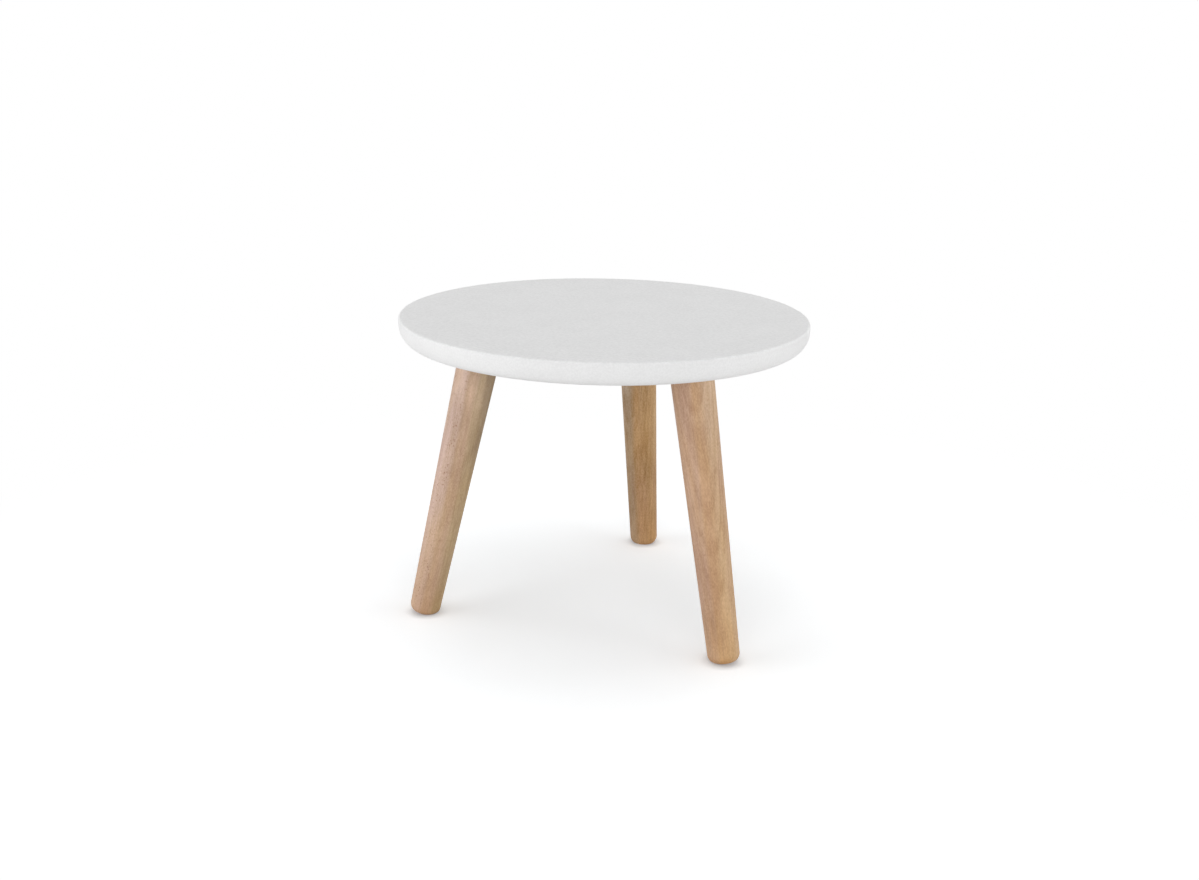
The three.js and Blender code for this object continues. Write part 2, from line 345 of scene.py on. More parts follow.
def makeWoodGrain():
    group, source, result = newGroup("turnedWoodGrain", {
        'Vector': ["Vector", "Pith", "Lean", "Heart And Shading Side"],
        'Color': ["Pale", "Dark", "Heart Tint And Side Shading", "Sap Tint And Side Shading", "Under Top Shading", "Foot Tint"],
        'Float': ["Ring Width", "Contrast", "Patchiness", "Flecks"],
    })
    place = source.outputs["Vector"]
    split = addNode(group, 'ShaderNodeSeparateXYZ')
    plug(group, split.inputs[0], place)
    along = split.outputs["Z"]

    # the rings wander a little, and the pith leans against the leg
    drawnOut = stretch(group, place, grainLook["wanderAlong"])
    wander = noise(group, drawnOut, grainLook["wanderScale"], detail=2, output="Color")
    wander = calculateVector(group, 'SUBTRACT', wander, (0.5, 0.5, 0.5))
    wander = calculateVector(group, 'MULTIPLY', wander, grainLook["wander"])
    height = addNode(group, 'ShaderNodeCombineXYZ')
    for axis in "XYZ":
        plug(group, height.inputs[axis], along)
    lean = calculateVector(group, 'MULTIPLY', height.outputs[0], source.outputs["Lean"])
    pith = calculateVector(group, 'ADD', source.outputs["Pith"], lean)
    across = calculateVector(group, 'ADD', place, wander)
    across = calculateVector(group, 'MULTIPLY', across, (1, 1, 0))
    radius = calculateVector(group, 'DISTANCE', across, pith)
    rings = addNode(group, 'ShaderNodeTexNoise', noise_dimensions='1D')
    plug(group, rings.inputs["W"], calculate(group, 'DIVIDE', radius, source.outputs["Ring Width"]))
    rings.inputs["Scale"].default_value = 1
    rings.inputs["Detail"].default_value = grainLook["ringDetail"]
    rings.inputs["Roughness"].default_value = grainLook["ringRoughness"]
    figure = remap(group, rings.outputs["Fac"], *grainLook["ringRange"], kind='SMOOTHSTEP')
    figure = calculate(group, 'MULTIPLY', figure, source.outputs["Contrast"])

    # fibres, grit, streaks and blotches, and wider patches that are also yellower or pinker
    fibres = grainLayer(group, place, "fibres")
    grit = grainLayer(group, place, "grit")
    streaks = grainLayer(group, place, "streaks")
    blotches = grainLayer(group, place, "blotches")
    patches = grainLayer(group, place, "patches")
    patches = calculate(group, 'MULTIPLY', patches, source.outputs["Patchiness"])
    for layer in (fibres, grit, streaks, blotches, patches):
        figure = calculate(group, 'ADD', figure, layer)
    colour = mixColours(group, figure, source.outputs["Pale"], source.outputs["Dark"], clamp=False)
    elsewhere = calculateVector(group, 'ADD', place, grainLook["warmthOffset"])
    warmth = grainLayer(group, elsewhere, "warmth")
    colour = tint(group, remap(group, warmth, 0, 1), colour, grainLook["yellower"])
    colour = tint(group, remap(group, warmth, 0, -1), colour, grainLook["pinker"])

    # heartwood and sapwood meet in an uneven border along the grain; their tints also paint light and
    # shade on the leg's two sides
    side = calculateVector(group, 'DOT_PRODUCT', place, source.outputs["Heart And Shading Side"])
    side = calculate(group, 'ADD', side, grainLayer(group, place, "border"))
    ragged = calculate(group, 'MULTIPLY', streaks, grainLook["borderRagged"])
    side = calculate(group, 'ADD', side, ragged)
    heartAndSideShading = remap(group, side, *grainLook["heartAndShadingFrom"], kind='SMOOTHSTEP')
    sapAndSideShading = remap(group, side, *grainLook["sapAndShadingFrom"], kind='SMOOTHSTEP')
    colour = tint(group, heartAndSideShading, colour, source.outputs["Heart Tint And Side Shading"])
    colour = tint(group, sapAndSideShading, colour, source.outputs["Sap Tint And Side Shading"])

    # painted light and shade under the table top at the top end, weaker on the heartwood side; a darker
    # tint towards the foot;
    # and on the sawn end painted shade under its rounding, with end grain that drank more oil
    ragged = calculate(group, 'MULTIPLY', patches, grainLook["endsRagged"])
    ragged = calculate(group, 'ADD', along, ragged)
    underTopShading = remap(group, ragged, *grainLook["underTopShadingFrom"], kind='SMOOTHSTEP')
    underTopShading = calculate(group, 'MULTIPLY', underTopShading, remap(group, heartAndSideShading, 0, 1, 1, grainLook["underTopShadingOnHeart"]))
    colour = tint(group, underTopShading, colour, source.outputs["Under Top Shading"])
    towardFoot = remap(group, ragged, *grainLook["towardFootFrom"], kind='SMOOTHSTEP')
    colour = tint(group, towardFoot, colour, source.outputs["Foot Tint"])
    # partly painted shade under the rounded foot, partly end grain that drank more oil
    sawn = remap(group, along, *grainLook["sawnEndOilAndShadeFrom"])
    colour = tint(group, sawn, colour, grainLook["sawnEndOilAndShade"])

    # flecks gather in the heartwood, and a few scuffs lie across the grain
    drawnOut = stretch(group, place, grainLook["gatherAlong"])
    gather = noise(group, drawnOut, grainLook["gatherScale"], detail=1)
    gather = remap(group, gather, *grainLook["gatherRange"], grainLook["fewFlecks"], 1)
    gather = calculate(group, 'MULTIPLY', gather, remap(group, heartAndSideShading, 0, 1, grainLook["fewInSap"], 1))
    drawnOut = stretch(group, place, grainLook["fleckAlong"])
    flecks = noise(group, drawnOut, grainLook["fleckScale"], detail=1)
    flecks = remap(group, flecks, *grainLook["fleckRange"], kind='SMOOTHSTEP')
    flecks = calculate(group, 'MULTIPLY', flecks, gather)
    drawnOut = stretch(group, place, grainLook["scuffAlong"])
    scuffs = noise(group, drawnOut, grainLook["scuffScale"], detail=2)
    scuffs = remap(group, scuffs, *grainLook["scuffRange"], 0, grainLook["scuffStrength"], 'SMOOTHSTEP')
    marks = calculate(group, 'MAXIMUM', flecks, scuffs)
    marks = calculate(group, 'MULTIPLY', marks, source.outputs["Flecks"])
    colour = mixColours(group, marks, colour, shade(*grainLook["markColour"]))

    plug(group, result.inputs["Color"], colour)
    plug(group, result.inputs["Roughness"], remap(group, figure, 0, 1, *grainLook["roughness"]))
    relief = calculate(group, 'ADD', fibres, grit)
    plug(group, result.inputs["Height"], calculate(group, 'SUBTRACT', relief, flecks))
    return group


# Zinc plating: a soft mottle, faint spangles and fine scratches

zincLook = dict(mottleScale=160, mottleDetail=4, mottleRoughness=0.6, mottleShare=0.65,
                spangleScale=420, spangleShare=0.35, scratchScale=1800, scratchAlong=(0.08, 1, 1),
                scratchStrength=0.25, scratchDepth=0.00003, glossRange=(-0.07, 0.09))


def makeZincPlating():
    group, source, result = newGroup("zincPlating", {
        'Vector': ["Vector"],
        'Color': ["Pale", "Dull"],
        'Float': ["Polish"],
    })
    place = source.outputs["Vector"]
    mottle = noise(group, place, zincLook["mottleScale"], zincLook["mottleDetail"],
                   zincLook["mottleRoughness"])
    spangle = addNode(group, 'ShaderNodeTexVoronoi')
    plug(group, spangle.inputs["Vector"], place)
    spangle.inputs["Scale"].default_value = zincLook["spangleScale"]
    spangled = addNode(group, 'ShaderNodeSeparateColor')
    plug(group, spangled.inputs[0], spangle.outputs["Color"])
    patch = calculate(group, 'MULTIPLY', spangled.outputs[0], zincLook["spangleShare"])
    mottled = remap(group, mottle, *noiseRange, 0, zincLook["mottleShare"])
    patch = calculate(group, 'ADD', patch, mottled, clamp=True)
    brushed = calculateVector(group, 'MULTIPLY', place, zincLook["scratchAlong"])
    scratches = noise(group, brushed, zincLook["scratchScale"], detail=2)
    gloss = remap(group, mottle, *noiseRange, *zincLook["glossRange"])
    gloss = calculate(group, 'ADD', source.outputs["Polish"], gloss)
    plug(group, result.inputs["Color"],
         mixColours(group, patch, source.outputs["Pale"], source.outputs["Dull"]))
    plug(group, result.inputs["Roughness"], gloss)
    plug(group, result.inputs["Height"], scratches)
    return group


woodGrain = makeWoodGrain()
zincPlating = makeZincPlating()
print("finishes ready")


# Mounting plate: a pressed flange with a dome, whose seat is square to the leg. In its settings
# firstRing is a share of the seat's radius and beyondDie one of the plate's half width. In those of
# the fixings a space is what a thread is kept within, and fill is a share of the pitch

plate = dict(thickness=0.002, cornerRadius=0.006, cornerSteps=8, holeMargin=0.008, land=0.005,
             seatRadius=0.017, wallRun=0.005, bend=0.002, bendSteps=6, headroom=0.002, segments=96,
             firstRing=0.6, beyondDie=1.5, boreReach=0.01, softness=0.00025, sharpAngle=40,
             pale=(206, 208, 210), dull=(176, 178, 181), polish=0.36)
fixings = dict(pale=(200, 201, 202), dull=(166, 168, 171), polish=0.3)
thread = dict(room=0.0001, sink=0.0003, fill=0.92, steps=32, turn=1.9)
nut = dict(flats=0.013, height=0.0065, chamfer=0.0007, bore=0.0086, softness=0.00012, softAngle=55,
           faceShare=0.96, cornerRoom=0.0003, leadIn=0.0008, leadFlare=0.0016, leadRise=0.0004,
           threadDepth=0.0004, spaceDepth=0.0006, spaceRise=0.0011, segments=96)
bolt = dict(radius=0.004, woodRoot=0.0029, machineRoot=0.0034, woodEnd=-0.035, point=0.007,
            shankLow=-0.006, shankHigh=-0.003, shankRise=0.0005, pastNut=0.001, chamfer=0.0008,
            tip=0.0003, spaceTip=0.0002, spaceRise=0.0003, woodRunOut=0.001, machineRunOut=0.0006,
            woodPitch=0.0032, machinePitch=0.00125, segments=48)
screw = dict(radius=0.00225, root=0.0015, length=0.020, point=0.005, tip=0.08, head=0.0042,
             rim=0.0004, threadFrom=0.0042, pitch=0.002, recess=0.0027, recessWidth=0.0009,
             recessDepth=0.0019, recessTaper=(0.25, 0.7, 1), turnStep=37, segments=48)

nutCorner = nut["flats"] / 2 / cos(pi / 6)
seatDepth = (plate["thickness"] + fitGap + nut["height"] * cos(splay) + nutCorner * sin(splay)
             + plate["headroom"])
seatThickness = plate["thickness"] * cos(splay)
wallAngle = atan2(seatDepth - plate["thickness"], plate["wallRun"])
domeFoot = plate["seatRadius"] + plate["wallRun"] + plate["bend"] * tan(wallAngle / 2)
screwOffset = (domeFoot + plate["land"] + screw["head"]) * sqrt(0.5)
plateHalf = screwOffset + plate["holeMargin"]
screwSigns = [(1, 1), (-1, 1), (-1, -1), (1, -1)]


def screwMatrix(name, sign):
    # the head's face lies in the plate's lower face, and the point is up
    height = -fitGap - plate["thickness"]
    return stationMatrix(name) @ Matrix.Translation((sign[0] * screwOffset, sign[1] * screwOffset, height))


def screwBody(name, radius, extra=0):
    head = screw["head"] + extra
    return turnedPiece(name, [
        (head, -extra),
        (head, screw["rim"]),
        (radius, screw["rim"] + head - radius),
        (radius, screw["length"] - screw["point"]),
        (radius * screw["tip"], screw["length"] + extra),
    ], screw["segments"])


def makePlateMaster():
    thickness, bend, steps = plate["thickness"], plate["bend"], plate["bendSteps"]
    turn = degrees(wallAngle)
    outer = bend + thickness
    reach = outer * tan(wallAngle / 2)
    outline = [(plate["seatRadius"] * plate["firstRing"], -seatDepth)]
    outline += arc((plate["seatRadius"] - reach, outer - seatDepth), (outer, outer), -90, turn - 90, steps)
    outline += arc((domeFoot, -thickness - bend), (bend, bend), 90 + turn, 90, steps)
    outline.append((plateHalf * plate["beyondDie"], -thickness))
    sheet = turnedPiece("plateMaster", outline, plate["segments"], openEnd=True)

    # every ring of the dome is tipped round its middle, the seat by the whole splay
    rings = {}
    for vertex in sheet.data.vertices:
        if vertex.co.z < -thickness - tiny:
            rings.setdefault(round(vertex.co.z, 6), []).append(vertex.index)
    for height, numbers in rings.items():
        tip = asin(tan(splay) * (-height - thickness) / (seatDepth - thickness))
        selectVertices(sheet, numbers)
        bpy.ops.transform.rotate(value=tip, orient_axis='Y', center_override=(0, 0, height))
        bpy.ops.transform.resize(value=(1 / cos(tip), 1, 1), center_override=(0, 0, height))
        editMode(False)

    # the drawn side is the lower one, so the wall grows upwards
    lowest = min(sheet.data.polygons, key=lambda face: face.center.z)
    if lowest.normal.z > 0:
        editMode(True)
        bpy.ops.mesh.select_all(action='SELECT')
        bpy.ops.mesh.flip_normals()
        editMode(False)
    wall = sheet.modifiers.new("wall", 'SOLIDIFY')
    wall.thickness = thickness
    wall.offset = -1
    wall.use_even_offset = True
    pickOnly(sheet)
    bpy.ops.object.modifier_apply(modifier="wall")

    # sheared to a square with round corners, then pierced
    bpy.ops.object.select_all(action='DESELECT')
    bpy.ops.mesh.primitive_cube_add(size=2 * plateHalf, location=(0, 0, 0))
    die = bpy.context.object
    points = die.data.vertices
    corners = [edge.index for edge in die.data.edges
               if abs(points[edge.vertices[0]].co.z - points[edge.vertices[1]].co.z) > plateHalf]
    editMode(True)
    bpy.ops.mesh.select_mode(type='EDGE')
    bpy.ops.mesh.select_all(action='DESELECT')
    editMode(False)
    for number in corners:
        die.data.edges[number].select = True
    editMode(True)
    bpy.ops.mesh.bevel(offset=plate["cornerRadius"], segments=plate["cornerSteps"], affect='EDGES')
    editMode(False)
    cut(sheet, die, 'INTERSECT')
    boreRadius, boreReach = bolt["radius"] + fitGap, plate["boreReach"]
    bore = turnedPiece("bore", [(boreRadius, -boreReach), (boreRadius, boreReach)], bolt["segments"])
    move(bore, Matrix.Translation((0, 0, -seatDepth)) @ Matrix.Rotation(-splay, 4, 'Y'))
    cut(sheet, bore)
    for sign in screwSigns:
        hole = screwBody("hole", screw["radius"] + fitGap, fitGap)
        move(hole, Matrix.Translation((sign[0] * screwOffset, sign[1] * screwOffset, -thickness)))
        cut(sheet, hole)
    softenEdges(sheet, plate["softness"], plate["sharpAngle"])
    smooth(sheet, plate["sharpAngle"])
    return sheet


# Threads: a ridge of three sides wound with the Screw modifier, kept within an envelope

def addThread(rod, envelope, crest, root, low, high, pitch, operation='UNION'):
    depth = crest - root + thread["sink"]
    standing = Matrix(((0, 1, 0), (0, 0, 1), (1, 0, 0))).to_euler()
    bpy.ops.object.select_all(action='DESELECT')
    bpy.ops.mesh.primitive_circle_add(vertices=3, radius=1, location=(0, 0, 0), rotation=standing)
    ridge = bpy.context.object
    bpy.ops.object.transform_apply(location=False, rotation=True, scale=False)
    editMode(True)
    bpy.ops.mesh.select_all(action='SELECT')
    # a triangle in a circle of radius 1 is 1.5 deep and the square root of 3 wide
    bpy.ops.transform.resize(
        value=(depth / 1.5, 1, thread["fill"] * pitch / sqrt(3)), center_override=(0, 0, 0))
    bpy.ops.transform.translate(value=(crest - depth / 1.5, 0, low))
    editMode(False)
    winding = ridge.modifiers.new("winding", 'SCREW')
    winding.axis = 'Z'
    winding.angle = 2 * pi
    winding.screw_offset = pitch
    winding.iterations = int((high - low) / pitch)
    winding.steps = winding.render_steps = thread["steps"]
    winding.use_smooth_shade = False
    bpy.ops.object.modifier_apply(modifier="winding")
    editMode(True)
    bpy.ops.mesh.select_mode(type='VERT')
    bpy.ops.mesh.select_all(action='SELECT')
    bpy.ops.mesh.fill_holes(sides=3)
    bpy.ops.mesh.select_all(action='SELECT')
    bpy.ops.mesh.normals_make_consistent(inside=False)
    # turned a little, so that none of its corners falls on one of the rod's
    bpy.ops.transform.rotate(
        value=radians(thread["turn"]), orient_axis='Z', center_override=(0, 0, 0))
    editMode(False)
    cut(ridge, envelope, 'INTERSECT')
    cut(rod, ridge, operation)


def makeScrewMaster():
    rod = screwBody("screwMaster", screw["root"])
    envelope = screwBody("envelope", screw["radius"] + thread["room"])
    addThread(rod, envelope, screw["radius"], screw["root"], screw["threadFrom"],
              screw["length"] + screw["pitch"], screw["pitch"])

    # cross recess: two tapered bars
    for angle in (0, 90):
        bpy.ops.object.select_all(action='DESELECT')
        bpy.ops.mesh.primitive_cube_add(
            size=1, scale=(2 * screw["recess"], screw["recessWidth"], 2 * screw["recessDepth"]))
        bar = bpy.context.object
        bpy.ops.object.transform_apply(location=False, rotation=False, scale=True)
        selectVertices(bar, [vertex.index for vertex in bar.data.vertices if vertex.co.z > 0])
        bpy.ops.transform.resize(value=screw["recessTaper"], center_override=(0, 0, 0))
        editMode(False)
        bar.rotation_euler.z = radians(angle)
        bpy.ops.object.transform_apply(location=False, rotation=True, scale=False)
        cut(rod, bar)
    smooth(rod)
    return rod


def makeNutMaster():
    bpy.ops.object.select_all(action='DESELECT')
    bpy.ops.mesh.primitive_cylinder_add(
        vertices=6, radius=nutCorner, depth=nut["height"], location=(0, 0, nut["height"] / 2))
    body = bpy.context.object
    body.name = "nutMaster"
    bpy.ops.object.transform_apply(location=True, rotation=False, scale=False)
    height, chamfer, pitch = nut["height"], nut["chamfer"], bolt["machinePitch"]
    face, corner = nut["flats"] / 2 * nut["faceShare"], nutCorner + nut["cornerRoom"]
    turned = turnedPiece(
        "chamfers", [(face, 0), (corner, chamfer), (corner, height - chamfer), (face, height)],
        nut["segments"])
    cut(body, turned, 'INTERSECT')
    softenEdges(body, nut["softness"], nut["softAngle"])
    bore = nut["bore"] / 2
    hole = turnedPiece("bore", [
        (bore + nut["leadFlare"], -nut["leadRise"]),
        (bore, nut["leadIn"]),
        (bore, height - nut["leadIn"]),
        (bore + nut["leadFlare"], height + nut["leadRise"]),
    ], bolt["segments"])
    cut(body, hole)
    space = bore + nut["spaceDepth"]
    envelope = turnedPiece(
        "envelope", [(space, -nut["spaceRise"]), (space, height + nut["spaceRise"])], bolt["segments"])
    addThread(body, envelope, bore + nut["threadDepth"], bore - nut["threadDepth"],
              -2 * pitch, height + 2 * pitch, pitch, 'DIFFERENCE')
    smooth(body)
    return body


def makeBoltMaster():
    top = seatThickness + fitGap + nut["height"] + bolt["pastNut"]
    low, shankLow, shankHigh = bolt["woodEnd"], bolt["shankLow"], bolt["shankHigh"]
    neck, chamfer = bolt["machineRoot"], bolt["chamfer"]
    rim = chamfer / 4
    within, past = neck - thread["sink"], bolt["radius"] + thread["room"]
    rod = turnedPiece("boltMaster", [
        (bolt["tip"], low),
        (bolt["woodRoot"], low + bolt["point"]),
        (bolt["woodRoot"], shankLow - bolt["shankRise"]),
        (neck, shankLow),
        (neck, top - rim),
        (neck - rim, top),
    ], bolt["segments"])
    woodSpace = turnedPiece("envelope", [
        (bolt["spaceTip"], low - bolt["spaceRise"]),
        (past, low + bolt["point"]),
        (past, shankLow - bolt["woodRunOut"]),
        (within, shankLow + bolt["spaceRise"]),
    ], bolt["segments"])
    pitch = bolt["woodPitch"]
    addThread(rod, woodSpace, bolt["radius"], bolt["woodRoot"], low - pitch, shankLow + pitch, pitch)
    machineSpace = turnedPiece("envelope", [
        (within, shankHigh - bolt["spaceRise"]),
        (past, shankHigh + bolt["machineRunOut"]),
        (past, top - chamfer),
        (within, top - thread["room"]),
    ], bolt["segments"])
    pitch = bolt["machinePitch"]
    addThread(rod, machineSpace, bolt["radius"], neck, shankHigh - pitch, top + pitch, pitch)
    smooth(rod)
    return rod


def zincSteel(name, look):
    material, tree, shader = newMaterial(name)
    place = addNode(tree, 'ShaderNodeTexCoord').outputs["Object"]
    plating = placeGroup(tree, zincPlating, place, {
        "Pale": shade(*look["pale"]),
        "Dull": shade(*look["dull"]),
        "Polish": look["polish"],
    })
    dress(tree, shader, plating, zincLook["scratchStrength"], zincLook["scratchDepth"])
    shader.inputs["Metallic"].default_value = 1
    return material


def makeMountings():
    plateSteel = zincSteel("zincSteel", plate)
    fixingSteel = zincSteel("zincFixings", fixings)
    plateMaster, nutMaster = makePlateMaster(), makeNutMaster()
    boltMaster, screwMaster = makeBoltMaster(), makeScrewMaster()
    for name in stations:
        onTop = stationMatrix(name) @ Matrix.Translation((0, 0, -fitGap))
        piece = placedCopy(plateMaster, f"pressedPlate_{name}", onTop)
        handOver(piece, f"mounting_plate_{name}", plateSteel)
        onSeat = legMatrix(name) @ Matrix.Translation((0, 0, seatThickness + fitGap))
        piece = placedCopy(nutMaster, f"weldNut_{name}", onSeat)
        handOver(piece, f"plate_nut_{name}", fixingSteel)
        piece = placedCopy(boltMaster, f"hangerBolt_{name}", legMatrix(name))
        handOver(piece, f"hanger_bolt_{name}", fixingSteel)
        for i, sign in enumerate(screwSigns, 1):
            stop = screw["turnStep"] * i + stations[name]  # no two are screwed in alike
            turn = Matrix.Rotation(radians(stop), 4, 'Z')
            piece = placedCopy(screwMaster, f"plateScrew_{name}_{i}", screwMatrix(name, sign) @ turn)
            handOver(piece, f"plate_screw_{name}_{i}", fixingSteel)
    for master in (plateMaster, nutMaster, boltMaster, screwMaster):
        bpy.data.objects.remove(master)


makeMountings()
print("plates and fixings done")


# Table top: a lacquered disc with a small upper edge and a soft lower one

disc = dict(upperEdge=0.003, side=0.005, lowerWidth=0.015, segments=256, edgeSteps=8, lowerSteps=24,
            sharpAngle=40, colour=(240, 240, 240), cloud=(236, 236, 236), cloudScale=28,
            speckShade=0.95, speckScale=450, wear=0.035, wearScale=260, roughness=(0.45, 0.55),
            peel=0.00006, peelStrength=0.4, peelScale=420, sheen=0.2)


def whiteLacquer():
    # a faint cloudiness, specks of dust under the last coat, fine wear on the upper face, and orange peel
    material, tree, shader = newMaterial("whiteLacquer")
    place = addNode(tree, 'ShaderNodeTexCoord').outputs["Object"]
    cloud = noise(tree, place, disc["cloudScale"], detail=4)
    speck = noise(tree, place, disc["speckScale"], detail=3)
    speck = remap(tree, speck, *speckRange, disc["speckShade"], 1)
    split = addNode(tree, 'ShaderNodeSeparateXYZ')
    plug(tree, split.inputs[0], place)
    upperFace = remap(tree, split.outputs["Z"], topHeight - disc["upperEdge"], topHeight)
    wear = noise(tree, place, disc["wearScale"], detail=3)
    wear = remap(tree, wear, *speckRange, -disc["wear"], disc["wear"])
    speck = calculate(tree, 'ADD', speck, calculate(tree, 'MULTIPLY', wear, upperFace))
    colour = mixColours(tree, cloud, shade(*disc["colour"]), shade(*disc["cloud"]))
    dusty = addNode(tree, 'ShaderNodeVectorMath', operation='SCALE')
    plug(tree, dusty.inputs[0], colour)
    plug(tree, dusty.inputs["Scale"], speck)
    plug(tree, shader.inputs["Base Color"], dusty.outputs[0])
    plug(tree, shader.inputs["Roughness"], remap(tree, cloud, *noiseRange, *disc["roughness"]))
    peel = noise(tree, place, disc["peelScale"], detail=2)
    addRelief(tree, shader, peel, disc["peelStrength"], disc["peel"])
    shader.inputs["Specular IOR Level"].default_value = disc["sheen"]
    return material


def makeTableTop():
    upper, width = disc["upperEdge"], disc["lowerWidth"]
    lowerHeight = topHeight - undersideHeight - upper - disc["side"]
    outline = [(topRadius - 2 * upper, topHeight)]
    outline += arc((topRadius - upper, topHeight - upper), (upper, upper), 90, 0, disc["edgeSteps"])
    outline += arc((topRadius - width, undersideHeight + lowerHeight), (width, lowerHeight), 0, -90,
                   disc["lowerSteps"])
    outline.append((topRadius - 2 * width, undersideHeight))
    top = turnedPiece("tableTop", outline, disc["segments"])
    for name in stations:
        for sign in screwSigns:
            pilot = screwBody("pilot", screw["radius"] + fitGap, fitGap)
            move(pilot, screwMatrix(name, sign))
            cut(top, pilot)
    smooth(top, disc["sharpAngle"])
    handOver(top, "table_top", whiteLacquer())


makeTableTop()
print("table top done")


# Legs, turned along their own axis with the plate's seat at height zero

leg = dict(topDiameter=0.051, footDiameter=0.0385, topEdge=0.001, topSteps=4, footEdge=0.010,
           footSteps=16, firstRing=1.3, sanding=0.0012, footSoftness=0.0004, softSteps=3,
           boreDepth=0.0353, borePoint=0.007, boreTip=0.05, segments=128,
           grainStrength=0.3, grainDepth=0.00015, sheen=0.25)

# each leg is cut from another board: tints multiply the grain on one side or at one end, and also paint
# light and shade on its sides and under the table top
boards = {
    "back": dict(
        pith=(0.035, -0.012, 0), lean=(0.05, 0.02, 0), ringWidth=0.004, contrast=0.4,
        pale=(194, 156, 112), dark=(165, 125, 81), patchiness=0.65, flecks=0.25,
        heartAndShadingSide=(0.298, -0.955, 0), heartTintAndSideShading=(0.93, 0.93, 0.89), sapTintAndSideShading=(0.82, 0.94, 1.2),
        underTopShadingTint=(1.04, 1.14, 1.36), footTint=(0.95, 0.88, 0.84)),
    "left": dict(
        pith=(-0.09, 0.04, 0), lean=(0.004, 0, 0), ringWidth=0.0034, contrast=0.24,
        pale=(207, 175, 143), dark=(186, 153, 120), patchiness=0.6, flecks=0.8,
        heartAndShadingSide=(0.976, -0.219, 0), heartTintAndSideShading=(1.03, 1.08, 1.3), sapTintAndSideShading=(0.88, 0.94, 0.88),
        underTopShadingTint=(0.66, 0.66, 0.69), footTint=(0.86, 0.79, 0.68)),
    "right": dict(
        pith=(-0.026, 0.028, 0), lean=(-0.022, 0.026, 0), ringWidth=0.002, contrast=0.46,
        pale=(194, 155, 115), dark=(171, 130, 91), patchiness=0.6, flecks=0.3,
        heartAndShadingSide=(-0.678, -0.736, 0), heartTintAndSideShading=(0.95, 0.995, 1.23), sapTintAndSideShading=(1.08, 1.18, 1.3),
        underTopShadingTint=(1.04, 1.12, 1.32), footTint=(0.99, 0.98, 0.96)),
}


def oiledWood(name):
    board = boards[name]
    material, tree, shader = newMaterial(f"oiledWood_{name}")
    place = addNode(tree, 'ShaderNodeTexCoord').outputs["Object"]
    mapping = addNode(tree, 'ShaderNodeMapping')
    toLeg = legMatrix(name).inverted()
    mapping.inputs["Location"].default_value = toLeg.to_translation()
    mapping.inputs["Rotation"].default_value = toLeg.to_euler('XYZ')
    plug(tree, mapping.inputs["Vector"], place)
    grain = placeGroup(tree, woodGrain, mapping.outputs["Vector"], {
        "Pith": board["pith"],
        "Lean": board["lean"],
        "Ring Width": board["ringWidth"],
        "Pale": shade(*board["pale"]),
        "Dark": shade(*board["dark"]),
        "Heart Tint And Side Shading": board["heartTintAndSideShading"] + (1,),
        "Sap Tint And Side Shading": board["sapTintAndSideShading"] + (1,),
        "Under Top Shading": board["underTopShadingTint"] + (1,),
        "Foot Tint": board["footTint"] + (1,),
        "Heart And Shading Side": board["heartAndShadingSide"],
        "Contrast": board["contrast"],
        "Patchiness": board["patchiness"],
        "Flecks": board["flecks"],
    })
    dress(tree, shader, grain, leg["grainStrength"], leg["grainDepth"])
    shader.inputs["Specular IOR Level"].default_value = leg["sheen"]
    return material


def makeLegMaster():
    foot, top, edge = leg["footDiameter"] / 2, leg["topDiameter"] / 2, leg["footEdge"]
    end = -(undersideHeight - fitGap - seatDepth) / cos(splay) - leg["sanding"]
    topEdge = leg["topEdge"]
    bore = bolt["radius"] + fitGap
    outline = [(foot - leg["firstRing"] * edge, end)]
    outline += arc((foot - edge, end + edge), (edge, edge), -90, 0, leg["footSteps"])
    outline += arc((top - topEdge, -fitGap - topEdge), (topEdge, topEdge), 0, 90, leg["topSteps"])
    outline.append((bore, -fitGap))
    outline.append((bore, leg["borePoint"] - leg["boreDepth"]))
    outline.append((bore * leg["boreTip"], -leg["boreDepth"]))
    return turnedPiece("legMaster", outline, leg["segments"])


def makeLegs():
    master = makeLegMaster()
    for name in stations:
        piece = placedCopy(master, f"turnedLeg_{name}", legMatrix(name))
        editMode(True)
        bpy.ops.mesh.select_all(action='SELECT')
        bpy.ops.mesh.bisect(plane_co=(0, 0, 0), plane_no=(0, 0, 1), use_fill=True,
                            clear_inner=True, threshold=tiny)
        # the sawn edge is still selected
        bpy.ops.mesh.bevel(offset=leg["footSoftness"], segments=leg["softSteps"], affect='EDGES')
        editMode(False)
        smooth(piece)
        handOver(piece, f"leg_{name}", oiledWood(name))
    bpy.data.objects.remove(master)


makeLegs()
print("legs done")


# Floor, lights and camera

